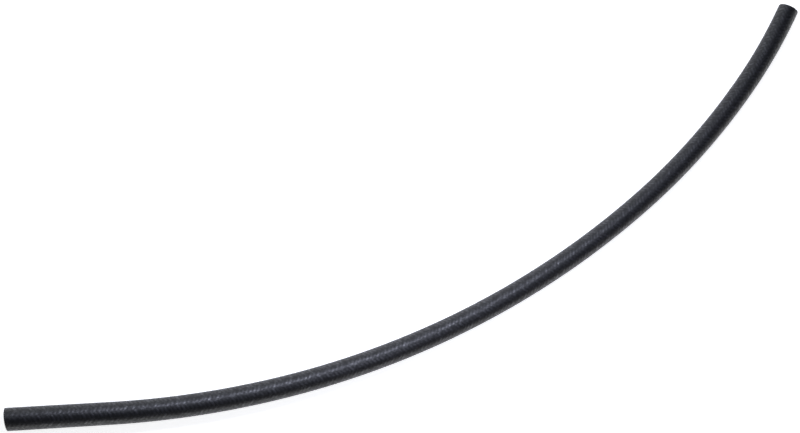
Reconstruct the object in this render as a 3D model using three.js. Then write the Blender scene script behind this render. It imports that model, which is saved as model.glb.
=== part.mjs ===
// A length of 5/16 inch fuel hose, cut bare at both ends and lying on a flat floor.
// Millimetres, +Z up. The floor is z = 0, and the origin is under the middle of the hose's box.
import * as THREE from "three";

// Section
const HOSE_LENGTH = 609.2;
const OUTER_DIAMETER = 13.7;
const BORE_DIAMETER = 7.9;
const OUTER_SIDES = 32;
const BORE_SIDES = 20;

// Route: the bends in the order they follow from the start, each with a length and with the degrees
// that it turns to the left, seen from above. The hose was stored in a coil, so it stays nearly
// round in the middle, has gone straight at the start and curls in at the far end. The last bend
// runs on to wherever the hose ends.
const START_LENGTH = 59.2;
const START_TURN = 0;
const LOWER_LENGTH = 180;
const LOWER_TURN = 18;
const MIDDLE_LENGTH = 200;
const MIDDLE_TURN = 20;
const UPPER_LENGTH = 110;
const UPPER_TURN = 14;
const END_LENGTH = 60;
const END_TURN = 10;
const BENDS = [
  { length: START_LENGTH, degrees: START_TURN },
  { length: LOWER_LENGTH, degrees: LOWER_TURN },
  { length: MIDDLE_LENGTH, degrees: MIDDLE_TURN },
  { length: UPPER_LENGTH, degrees: UPPER_TURN },
  { length: END_LENGTH, degrees: END_TURN },
];
const STEPS_ALONG = 60;

// Knife cut: the start was cut a little off square, shorter on its right-hand side and underneath,
// so its face looks down a little.
const START_CUT_LEAN = THREE.MathUtils.degToRad(7);
const START_CUT_TIP = THREE.MathUtils.degToRad(14);

// The middle line of the hose, made of round bends that meet in line with each other.
class BentRoute extends THREE.Curve {
  constructor(bends, length, height) {
    super();
    this.length = length;
    this.height = height;
    this.arcs = [];
    let place = new THREE.Vector2(0, 0);
    let heading = 0;
    let passed = 0;
    for (const bend of bends) {
      const rate = THREE.MathUtils.degToRad(bend.degrees) / bend.length;
      const arc = { place, heading, passed, rate };
      this.arcs.push(arc);
      place = pointOnArc(arc, bend.length);
      heading += rate * bend.length;
      passed += bend.length;
    }
  }

  arcAt(distance) {
    return this.arcs.findLast((arc) => distance >= arc.passed) ?? this.arcs[0];
  }

  getPoint(t, target = new THREE.Vector3()) {
    const distance = t * this.length;
    const arc = this.arcAt(distance);
    const flat = pointOnArc(arc, distance - arc.passed);
    return target.set(flat.x, flat.y, this.height);
  }

  getTangent(t, target = new THREE.Vector3()) {
    const distance = t * this.length;
    const arc = this.arcAt(distance);
    const heading = arc.heading + arc.rate * (distance - arc.passed);
    return target.set(Math.cos(heading), Math.sin(heading), 0);
  }
}

// Steps along the arc's chord, which is the whole distance where the arc is straight.
function pointOnArc(arc, distance) {
  const half = (arc.rate * distance) / 2;
  const chord = half === 0 ? distance : (distance * Math.sin(half)) / half;
  return new THREE.Vector2(
    arc.place.x + chord * Math.cos(arc.heading + half),
    arc.place.y + chord * Math.sin(arc.heading + half),
  );
}

function circlePoints(radius, sides) {
  return Array.from({ length: sides }, (_, index) => {
    const angle = (2 * Math.PI * index) / sides;
    return new THREE.Vector2(radius * Math.cos(angle), radius * Math.sin(angle));
  });
}

// The ring-shaped section: the rubber wall around the open bore.
function hoseSection() {
  const section = new THREE.Shape(circlePoints(OUTER_DIAMETER / 2, OUTER_SIDES));
  section.holes.push(new THREE.Path(circlePoints(BORE_DIAMETER / 2, BORE_SIDES)));
  return section;
}

// Turns the flat face at the start of the route, where x is 0, about its middle: leaned to the side
// and tipped forward.
function leanStartCut(geometry) {
  const points = geometry.attributes.position;
  for (let index = 0; index < points.count; index += 1) {
    if (Math.abs(points.getX(index)) < 1e-6) {
      const toLeft = points.getY(index);
      const aboveMiddle = points.getZ(index) - OUTER_DIAMETER / 2;
      const lean = -toLeft * Math.tan(START_CUT_LEAN);
      points.setX(index, lean - aboveMiddle * Math.tan(START_CUT_TIP));
    }
  }
}

function hoseGeometry() {
  const route = new BentRoute(BENDS, HOSE_LENGTH, OUTER_DIAMETER / 2);
  const geometry = new THREE.ExtrudeGeometry(hoseSection(), {
    steps: STEPS_ALONG,
    extrudePath: route,
    bevelEnabled: false,
  });
  leanStartCut(geometry);
  geometry.computeVertexNormals();
  geometry.computeBoundingBox();
  return geometry;
}

// Black oil-resistant rubber with a satin surface.
const rubber = new THREE.MeshStandardMaterial({ color: 0x1b1d20, roughness: 0.55, metalness: 0 });

const hose = new THREE.Mesh(hoseGeometry(), rubber);
hose.name = "hose";

// Stand the hose on the floor with the origin under the middle of its box.
const box = hose.geometry.boundingBox;
const middle = box.getCenter(new THREE.Vector3());
hose.position.set(-middle.x, -middle.y, -box.min.z);

const part = new THREE.Group();
part.add(hose);

export default part;
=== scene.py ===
# A bent length of black rubber fuel hose on a pale studio floor, seen from above.
import math

import bpy
import numpy as np
from mathutils import Matrix, Vector


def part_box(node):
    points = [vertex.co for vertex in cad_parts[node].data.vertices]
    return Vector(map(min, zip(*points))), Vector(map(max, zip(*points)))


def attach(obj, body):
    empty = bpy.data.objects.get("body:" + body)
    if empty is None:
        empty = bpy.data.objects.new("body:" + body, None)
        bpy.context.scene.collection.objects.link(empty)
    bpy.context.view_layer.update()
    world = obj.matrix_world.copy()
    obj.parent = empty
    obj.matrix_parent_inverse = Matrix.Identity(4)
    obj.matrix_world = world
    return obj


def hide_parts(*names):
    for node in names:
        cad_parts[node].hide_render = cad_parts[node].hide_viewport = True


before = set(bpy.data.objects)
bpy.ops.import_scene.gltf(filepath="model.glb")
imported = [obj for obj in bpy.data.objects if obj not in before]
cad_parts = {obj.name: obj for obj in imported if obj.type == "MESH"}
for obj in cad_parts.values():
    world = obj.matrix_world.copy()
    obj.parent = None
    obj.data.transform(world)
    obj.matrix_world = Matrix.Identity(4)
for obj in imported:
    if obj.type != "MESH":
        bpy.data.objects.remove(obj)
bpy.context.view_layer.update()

# Hose, in metres, with the same sizes and bends as the solid: each bend's length and how many
# degrees it turns to the left
HOSE_LENGTH = 0.6092
OUTER_RADIUS = 0.0137 / 2
BORE_RADIUS = 0.0079 / 2
BENDS = [
    (0.0592, 0),
    (0.180, 18),
    (0.200, 20),
    (0.110, 14),
    (0.060, 10),
]
START_CUT_LEAN = math.radians(7)
START_CUT_TIP = math.radians(14)
CUT_LEAN_REACH = 0.020
RIM_RADIUS = 0.0005

# Braid pressed into the cover: twelve yarns run round each way, over two and under two. It is
# turned so that rows of both leans meet in the highlight. Half of its depth is in the mesh and
# half in the material.
YARNS_EACH_WAY = 12
YARN_PITCH = 0.00254
BRAID_TURN = 0.0638
MESH_RELIEF = 0.00005
SHADED_RELIEF = 0.00005
FLOAT_SHARE = 0.5

# Noise in the rubber, in waves per metre, and the depth of its grain
PATCH_SCALE = 420
LUMP_SCALE = 520
GRAIN_SCALE = 1500
GRAIN_DEPTH = 0.00006
SCRATCH_SCALE = 1400
SCRATCH_DEPTH = 0.00008

# Mesh fineness
SIDES = 80
RINGS_PER_PITCH = 5
BORE_RINGS = 24
RIM_RINGS = 5
FACE_RINGS = 6

# Camera, for a picture of 800 by 433 pixels
PICTURE_WIDTH = 800
FOCAL_PIXELS = 1500
CAMERA_PLACE = Vector((-0.29930, 0.00280, 0.90817))
CAMERA_AIM = Vector((-0.01904, -0.00974, 0.0))
PICTURE_UP = Vector((0.02081, 0.99976, -0.00738))

# Studio
FLOOR_HALF_WIDTH = 3.0
FLOOR_GLOW = 0.75
SURROUNDINGS_STRENGTH = 4.2
LIGHT_COLOUR = (0.78, 0.81, 1.0)


def make_camera():
    data = bpy.data.cameras.new("camera")
    data.sensor_width = 36.0
    data.lens = FOCAL_PIXELS * data.sensor_width / PICTURE_WIDTH
    data.clip_start = 0.01
    forward = (CAMERA_AIM - CAMERA_PLACE).normalized()
    right = forward.cross(PICTURE_UP).normalized()
    up = right.cross(forward)
    camera = bpy.data.objects.new("camera", data)
    turn = Matrix((right, up, -forward)).transposed().to_4x4()
    camera.matrix_world = Matrix.Translation(CAMERA_PLACE) @ turn
    bpy.context.scene.collection.objects.link(camera)
    bpy.context.scene.camera = camera


# Route of the hose

def route_arcs():
    """Start place, start heading, distance passed and turn per metre of each bend."""
    arcs = []
    place = np.array([0.0, 0.0])
    heading = 0.0
    passed = 0.0
    for length, degrees in BENDS:
        rate = math.radians(degrees) / length
        arcs.append((place, heading, passed, rate))
        place = place + arc_step(heading, length, rate)
        heading += rate * length
        passed += length
    return arcs


def arc_step(heading, distance, rate):
    """The step along a bend's chord, which is the whole distance where it is straight."""
    half = rate * distance / 2
    chord = distance * np.sinc(half / math.pi)
    return chord * np.array([math.cos(heading + half), math.sin(heading + half)])


def route_at(distance, arcs):
    """Place and heading of the middle line, before the hose is centred on the origin."""
    place, heading, passed, rate = [arc for arc in arcs if arc[2] <= max(distance, 0.0)][-1]
    step = distance - passed
    return place + arc_step(heading, step, rate), heading + rate * step


def route_shift(arcs):
    """What centres the hose on the origin: the solid's box, against the route's own."""
    samples = [route_at(HOSE_LENGTH * index / 400, arcs) for index in range(401)]
    lowest_y = min(place[1] for place, _ in samples) - OUTER_RADIUS
    start_x = -OUTER_RADIUS * math.hypot(math.tan(START_CUT_LEAN), math.tan(START_CUT_TIP))
    low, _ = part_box("hose")
    return np.array([low[0] - start_x, low[1] - lowest_y])


# Braid relief

def braid_height(along, turn):
    """Height of the pressed braid: 0 in the grooves, 1 on the crest of a yarn."""
    turned = YARNS_EACH_WAY * (turn + BRAID_TURN)
    first = along / YARN_PITCH - turned
    second = along / YARN_PITCH + turned
    first_yarn = np.floor(first)
    second_yarn = np.floor(second)
    first_across = first - first_yarn
    second_across = second - second_yarn
    # Each yarn passes over two of the other way, then under two
    crossing = np.mod(first_yarn - second_yarn, 4)
    first_on_top = crossing < 2
    across = np.where(first_on_top, first_across, second_across)
    from_middle = np.where(
        first_on_top,
        second_across - (crossing == 1),
        first_across - (crossing == 2),
    )
    crown = np.sin(math.pi * across)
    rise = np.cos(0.5 * math.pi * from_middle)
    return crown * (1 - FLOAT_SHARE + FLOAT_SHARE * rise)


# Hose

def cover_distances():
    """Even steps along the cover, a whole number to each pitch of the braid."""
    step = YARN_PITCH / RINGS_PER_PITCH
    last = HOSE_LENGTH - RIM_RADIUS
    return np.append(np.arange(RIM_RADIUS, last - 0.5 * step, step), last)


def hose_rings():
    """Rings round the wall, in order: cover, far cut, bore, start cut. Each is the distance
    along and the radius at every side."""
    turn = np.arange(SIDES) / SIDES
    rings = []
    for along in cover_distances():
        height = braid_height(along, turn)
        rings.append((along, OUTER_RADIUS - MESH_RELIEF * (1 - height)))
    first_radius = rings[0][1]
    last_radius = rings[-1][1]
    for index in range(1, RIM_RINGS + 1):
        angle = 0.5 * math.pi * index / RIM_RINGS
        along = HOSE_LENGTH - RIM_RADIUS * (1 - math.sin(angle))
        rings.append((along, last_radius - RIM_RADIUS * (1 - math.cos(angle))))
    outer = last_radius - RIM_RADIUS
    for index in range(1, FACE_RINGS + 1):
        share = index / FACE_RINGS
        rings.append((HOSE_LENGTH, outer + (BORE_RADIUS - outer) * share))
    for along in np.linspace(HOSE_LENGTH, 0, BORE_RINGS)[1:]:
        rings.append((along, np.full(SIDES, BORE_RADIUS)))
    outer = first_radius - RIM_RADIUS
    for index in range(1, FACE_RINGS + 1):
        share = index / FACE_RINGS
        rings.append((0.0, BORE_RADIUS + (outer - BORE_RADIUS) * share))
    for index in range(1, RIM_RINGS):
        angle = 0.5 * math.pi * index / RIM_RINGS
        along = RIM_RADIUS * (1 - math.sin(angle))
        rings.append((along, outer + RIM_RADIUS * math.sin(angle)))
    return rings


def ring_points(along, radius, shift, arcs):
    """One ring's points, leaned and tipped near the start as the knife left it."""
    angle = 2 * math.pi * np.arange(SIDES) / SIDES
    place, heading = route_at(along, arcs)
    to_left = radius * np.cos(angle)
    above_middle = radius * np.sin(angle)
    lean = -above_middle * math.tan(START_CUT_TIP) - to_left * math.tan(START_CUT_LEAN)
    lean = lean * max(0.0, 1 - along / CUT_LEAN_REACH)
    x = place[0] + shift[0] - to_left * math.sin(heading) + lean * math.cos(heading)
    y = place[1] + shift[1] + to_left * math.cos(heading) + lean * math.sin(heading)
    return np.stack([x, y, OUTER_RADIUS + above_middle], axis=1)


def make_hose(cover, cut):
    arcs = route_arcs()
    shift = route_shift(arcs)
    rings = hose_rings()
    points = np.concatenate([ring_points(*ring, shift, arcs) for ring in rings])
    count = len(rings)
    ring = np.repeat(np.arange(count), SIDES)
    side = np.tile(np.arange(SIDES), count)
    next_ring = (ring + 1) % count
    next_side = (side + 1) % SIDES
    faces = np.stack([
        ring * SIDES + side,
        ring * SIDES + next_side,
        next_ring * SIDES + next_side,
        next_ring * SIDES + side,
    ], axis=1)
    mesh = bpy.data.meshes.new("fuel_hose")
    mesh.from_pydata(points.tolist(), [], faces.tolist())
    mesh.materials.append(cover)
    mesh.materials.append(cut)
    last_cover_ring = len(cover_distances()) + RIM_RINGS - 2
    first_start_rim = count - RIM_RINGS
    is_cut = (ring > last_cover_ring) & (ring < first_start_rim)
    mesh.polygons.foreach_set("material_index", is_cut.astype(np.int32))
    mesh.polygons.foreach_set("use_smooth", np.ones(len(faces), dtype=bool))
    # Texture coordinates run along and round the hose, one unit to a circumference
    along = np.array([distance for distance, _ in rings]) / (2 * math.pi * OUTER_RADIUS)
    corners = np.stack([
        np.stack([along[ring], side / SIDES], axis=1),
        np.stack([along[ring], (side + 1) / SIDES], axis=1),
        np.stack([along[next_ring], (side + 1) / SIDES], axis=1),
        np.stack([along[next_ring], side / SIDES], axis=1),
    ], axis=1)
    mesh.uv_layers.new(name="along_and_round").data.foreach_set("uv", corners.ravel())
    mesh.validate()
    mesh.update()
    hose = bpy.data.objects.new("fuel_hose", mesh)
    bpy.context.scene.collection.objects.link(hose)
    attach(hose, "root")
    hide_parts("hose")
    return hose


# Materials

def new_material(name):
    material = bpy.data.materials.new(name)
    material.use_nodes = True
    nodes = material.node_tree.nodes
    return material, nodes, material.node_tree.links, nodes["Principled BSDF"]


def noise(nodes, links, coordinates, scale, detail):
    texture = nodes.new("ShaderNodeTexNoise")
    texture.inputs["Scale"].default_value = scale
    texture.inputs["Detail"].default_value = detail
    links.new(coordinates, texture.inputs["Vector"])
    return texture.outputs["Fac"]


def remap(nodes, links, value, low, high, to_low, to_high):
    node = nodes.new("ShaderNodeMapRange")
    links.new(value, node.inputs["Value"])
    node.inputs["From Min"].default_value = low
    node.inputs["From Max"].default_value = high
    node.inputs["To Min"].default_value = to_low
    node.inputs["To Max"].default_value = to_high
    return node.outputs["Result"]


def calc(nodes, links, operation, first, second=None):
    """A maths node on sockets or numbers."""
    node = nodes.new("ShaderNodeMath")
    node.operation = operation
    for socket, value in zip(node.inputs, (first, second)):
        if isinstance(value, bpy.types.NodeSocket):
            links.new(value, socket)
        elif value is not None:
            socket.default_value = value
    return node.outputs["Value"]


def pick(nodes, links, choice, if_not, if_so):
    node = nodes.new("ShaderNodeMix")
    links.new(choice, node.inputs["Factor"])
    links.new(if_not, node.inputs["A"])
    links.new(if_so, node.inputs["B"])
    return node.outputs["Result"]


def braid_pattern(nodes, links):
    """The same braid as in the mesh, worked out from the texture coordinates, with some yarns
    pressed in deeper than others."""
    split = nodes.new("ShaderNodeSeparateXYZ")
    links.new(nodes.new("ShaderNodeTexCoord").outputs["UV"], split.inputs["Vector"])
    pitches = 2 * math.pi * OUTER_RADIUS / YARN_PITCH
    along = calc(nodes, links, "MULTIPLY", split.outputs["X"], pitches)
    turned = calc(nodes, links, "ADD", split.outputs["Y"], BRAID_TURN)
    turned = calc(nodes, links, "MULTIPLY", turned, YARNS_EACH_WAY)
    first = calc(nodes, links, "SUBTRACT", along, turned)
    second = calc(nodes, links, "ADD", along, turned)
    first_yarn = calc(nodes, links, "FLOOR", first)
    second_yarn = calc(nodes, links, "FLOOR", second)
    first_across = calc(nodes, links, "FRACT", first)
    second_across = calc(nodes, links, "FRACT", second)
    apart = calc(nodes, links, "SUBTRACT", first_yarn, second_yarn)
    crossing = calc(nodes, links, "FLOORED_MODULO", apart, 4)
    first_on_top = calc(nodes, links, "LESS_THAN", crossing, 1.5)
    across = pick(nodes, links, first_on_top, second_across, first_across)
    # The crossings where the upper yarn has half its float behind it
    first_leaves = calc(nodes, links, "SUBTRACT", second_across, equals(nodes, links, crossing, 1))
    second_leaves = calc(nodes, links, "SUBTRACT", first_across, equals(nodes, links, crossing, 2))
    from_middle = pick(nodes, links, first_on_top, second_leaves, first_leaves)
    crown = calc(nodes, links, "SINE", calc(nodes, links, "MULTIPLY", across, math.pi))
    rise = calc(nodes, links, "COSINE", calc(nodes, links, "MULTIPLY", from_middle, 0.5 * math.pi))
    share = remap(nodes, links, rise, 0.0, 1.0, 1 - FLOAT_SHARE, 1.0)
    # Off a whole number, so that the two ways of yarn don't draw the same heights
    second_name = calc(nodes, links, "ADD", second_yarn, 0.37)
    yarn = pick(nodes, links, first_on_top, second_name, first_yarn)
    tension = nodes.new("ShaderNodeTexWhiteNoise")
    tension.noise_dimensions = "1D"
    links.new(yarn, tension.inputs["W"])
    height = remap(nodes, links, tension.outputs["Value"], 0.0, 1.0, 0.4, 1.3)
    return calc(nodes, links, "MULTIPLY", calc(nodes, links, "MULTIPLY", crown, share), height)


def equals(nodes, links, value, number):
    above = calc(nodes, links, "GREATER_THAN", value, number - 0.5)
    below = calc(nodes, links, "LESS_THAN", value, number + 0.5)
    return calc(nodes, links, "MULTIPLY", above, below)


def cover_rubber():
    """Satin black cover: crests smoother and grooves rougher, lumps and a fine grain. The base
    colour and the specular level are painted shade: darker and less glossy in the braid's grooves,
    lighter and glossier on its crests, and shifted at random by the lumps.
    """
    material, nodes, links, shader = new_material("cover_rubber")
    place = nodes.new("ShaderNodeTexCoord").outputs["Object"]
    braid = braid_pattern(nodes, links)
    patches = noise(nodes, links, place, PATCH_SCALE, 2)
    grain = noise(nodes, links, place, GRAIN_SCALE, 3)
    lumps = noise(nodes, links, place, LUMP_SCALE, 1)
    depth = remap(nodes, links, patches, 0.3, 0.7, 0.2, 1.2)
    pressed = calc(nodes, links, "MULTIPLY", braid, depth)
    lift = remap(nodes, links, lumps, 0.3, 0.7, -0.35, 0.35)
    relief = calc(nodes, links, "ADD", pressed, lift)
    # Painted shade: the base colour is darker in the braid's grooves and lighter on its crests,
    # and the lumps shift it at random.
    ramp = nodes.new("ShaderNodeValToRGB")
    ramp.color_ramp.elements[0].position = 0.2
    ramp.color_ramp.elements[0].color = (0.0022, 0.0024, 0.0036, 1)
    ramp.color_ramp.elements[1].position = 1.0
    ramp.color_ramp.elements[1].color = (0.0068, 0.0072, 0.0105, 1)
    links.new(relief, ramp.inputs["Fac"])
    links.new(ramp.outputs["Color"], shader.inputs["Base Color"])
    polish = remap(nodes, links, relief, 0.0, 1.1, 0.50, 0.38)
    uneven = remap(nodes, links, grain, 0.3, 0.7, -0.05, 0.05)
    links.new(calc(nodes, links, "ADD", polish, uneven), shader.inputs["Roughness"])
    # Painted shade and highlight: the specular level is lower in the grooves and higher on the
    # crests, so that the crests glint in the highlight.
    painted_shade_gloss = remap(nodes, links, relief, 0.0, 1.1, 0.36, 0.70)
    links.new(painted_shade_gloss, shader.inputs["Specular IOR Level"])
    fine = nodes.new("ShaderNodeBump")
    fine.inputs["Strength"].default_value = 0.5
    fine.inputs["Distance"].default_value = GRAIN_DEPTH
    links.new(grain, fine.inputs["Height"])
    bump = nodes.new("ShaderNodeBump")
    bump.inputs["Strength"].default_value = 1.0
    bump.inputs["Distance"].default_value = SHADED_RELIEF
    links.new(relief, bump.inputs["Height"])
    links.new(fine.outputs["Normal"], bump.inputs["Normal"])
    links.new(bump.outputs["Normal"], shader.inputs["Normal"])
    return material


def cut_rubber():
    """Plain wall of the bore and the knife-cut ends: duller, with fine scratches."""
    material, nodes, links, shader = new_material("cut_rubber")
    place = nodes.new("ShaderNodeTexCoord").outputs["Object"]
    scratches = noise(nodes, links, place, SCRATCH_SCALE, 4)
    ramp = nodes.new("ShaderNodeValToRGB")
    ramp.color_ramp.elements[0].position = 0.3
    ramp.color_ramp.elements[0].color = (0.010, 0.0105, 0.011, 1)
    ramp.color_ramp.elements[1].position = 0.75
    ramp.color_ramp.elements[1].color = (0.022, 0.023, 0.024, 1)
    links.new(scratches, ramp.inputs["Fac"])
    links.new(ramp.outputs["Color"], shader.inputs["Base Color"])
    dull = remap(nodes, links, scratches, 0.3, 0.7, 0.55, 0.75)
    links.new(dull, shader.inputs["Roughness"])
    bump = nodes.new("ShaderNodeBump")
    bump.inputs["Strength"].default_value = 0.4
    bump.inputs["Distance"].default_value = SCRATCH_DEPTH
    links.new(scratches, bump.inputs["Height"])
    links.new(bump.outputs["Normal"], shader.inputs["Normal"])
    return material


def floor_paint():
    """White paint, partly self-lit so that the floor is pure white all over."""
    material, nodes, links, shader = new_material("floor_paint")
    place = nodes.new("ShaderNodeTexCoord").outputs["Object"]
    ramp = nodes.new("ShaderNodeValToRGB")
    ramp.color_ramp.elements[0].color = (0.86, 0.86, 0.86, 1)
    ramp.color_ramp.elements[1].color = (0.90, 0.90, 0.90, 1)
    links.new(noise(nodes, links, place, 3, 2), ramp.inputs["Fac"])
    links.new(ramp.outputs["Color"], shader.inputs["Base Color"])
    shader.inputs["Roughness"].default_value = 0.9
    shader.inputs["Emission Color"].default_value = (1.0, 1.0, 1.0, 1)
    shader.inputs["Emission Strength"].default_value = FLOOR_GLOW
    return material


# Studio

def make_floor():
    half = FLOOR_HALF_WIDTH
    mesh = bpy.data.meshes.new("floor")
    corners = [(-half, -half, 0), (half, -half, 0), (half, half, 0), (-half, half, 0)]
    mesh.from_pydata(corners, [], [(0, 1, 2, 3)])
    mesh.materials.append(floor_paint())
    floor = bpy.data.objects.new("floor", mesh)
    bpy.context.scene.collection.objects.link(floor)


def add_softbox(name, place, aim, width, height, power):
    """A soft light at a place, facing the point that it is aimed at and unseen by the camera."""
    data = bpy.data.lights.new(name, "AREA")
    data.shape = "RECTANGLE"
    data.size = width
    data.size_y = height
    data.energy = power
    data.color = LIGHT_COLOUR
    light = bpy.data.objects.new(name, data)
    light.location = place
    light.rotation_euler = (Vector(place) - Vector(aim)).to_track_quat("Z", "Y").to_euler()
    light.visible_camera = False
    bpy.context.scene.collection.objects.link(light)


def height_ramp(nodes, links, height, stops):
    """Brightness and colour of the surroundings against the sine of the angle above the floor."""
    ramp = nodes.new("ShaderNodeValToRGB")
    elements = ramp.color_ramp.elements
    while len(elements) < len(stops):
        elements.new(0.5)
    for element, (position, colour) in zip(elements, stops):
        element.position = position
        element.color = (*colour, 1)
    links.new(height, ramp.inputs["Fac"])
    return ramp.outputs["Color"]


def make_surroundings():
    """A dark roof over a bright strip low on the right-hand side of the hose, and a dimmer
    wall on its left-hand side."""
    world = bpy.data.worlds.new("surroundings")
    world.use_nodes = True
    bpy.context.scene.world = world
    nodes = world.node_tree.nodes
    links = world.node_tree.links
    direction = nodes.new("ShaderNodeTexCoord").outputs["Generated"]
    split = nodes.new("ShaderNodeSeparateXYZ")
    links.new(direction, split.inputs["Vector"])
    near = height_ramp(nodes, links, split.outputs["Z"], [
        (0.12, (1.0, 1.0, 0.99)),
        (0.18, (0.04, 0.04, 0.04)),
        (0.38, (0.11, 0.11, 0.11)),
        (0.70, (0.0, 0.0, 0.0)),
    ])
    far = height_ramp(nodes, links, split.outputs["Z"], [
        (0.10, (0.24, 0.25, 0.26)),
        (0.45, (0.27, 0.29, 0.32)),
        (0.56, (0.25, 0.27, 0.30)),
        (0.66, (0.0, 0.0, 0.0)),
    ])
    sides = nodes.new("ShaderNodeMix")
    sides.data_type = "RGBA"
    leftward = remap(nodes, links, split.outputs["Y"], -0.15, 0.15, 0.0, 1.0)
    links.new(leftward, sides.inputs["Factor"])
    links.new(near, sides.inputs["A"])
    links.new(far, sides.inputs["B"])
    links.new(sides.outputs["Result"], nodes["Background"].inputs["Color"])
    nodes["Background"].inputs["Strength"].default_value = SURROUNDINGS_STRENGTH


def main():
    make_camera()
    make_hose(cover_rubber(), cut_rubber())
    make_floor()
    make_surroundings()
    add_softbox("key_light", (-0.05, 0.14, 0.30), (-0.05, 0.139, 0.0), 0.24, 0.12, 1.60)
    add_softbox("fill_light", (0.04, -0.10, 0.30), (0.04, -0.101, 0.0), 0.12, 0.12, 0.15)
    bpy.context.scene.view_settings.view_transform = "Standard"


main()
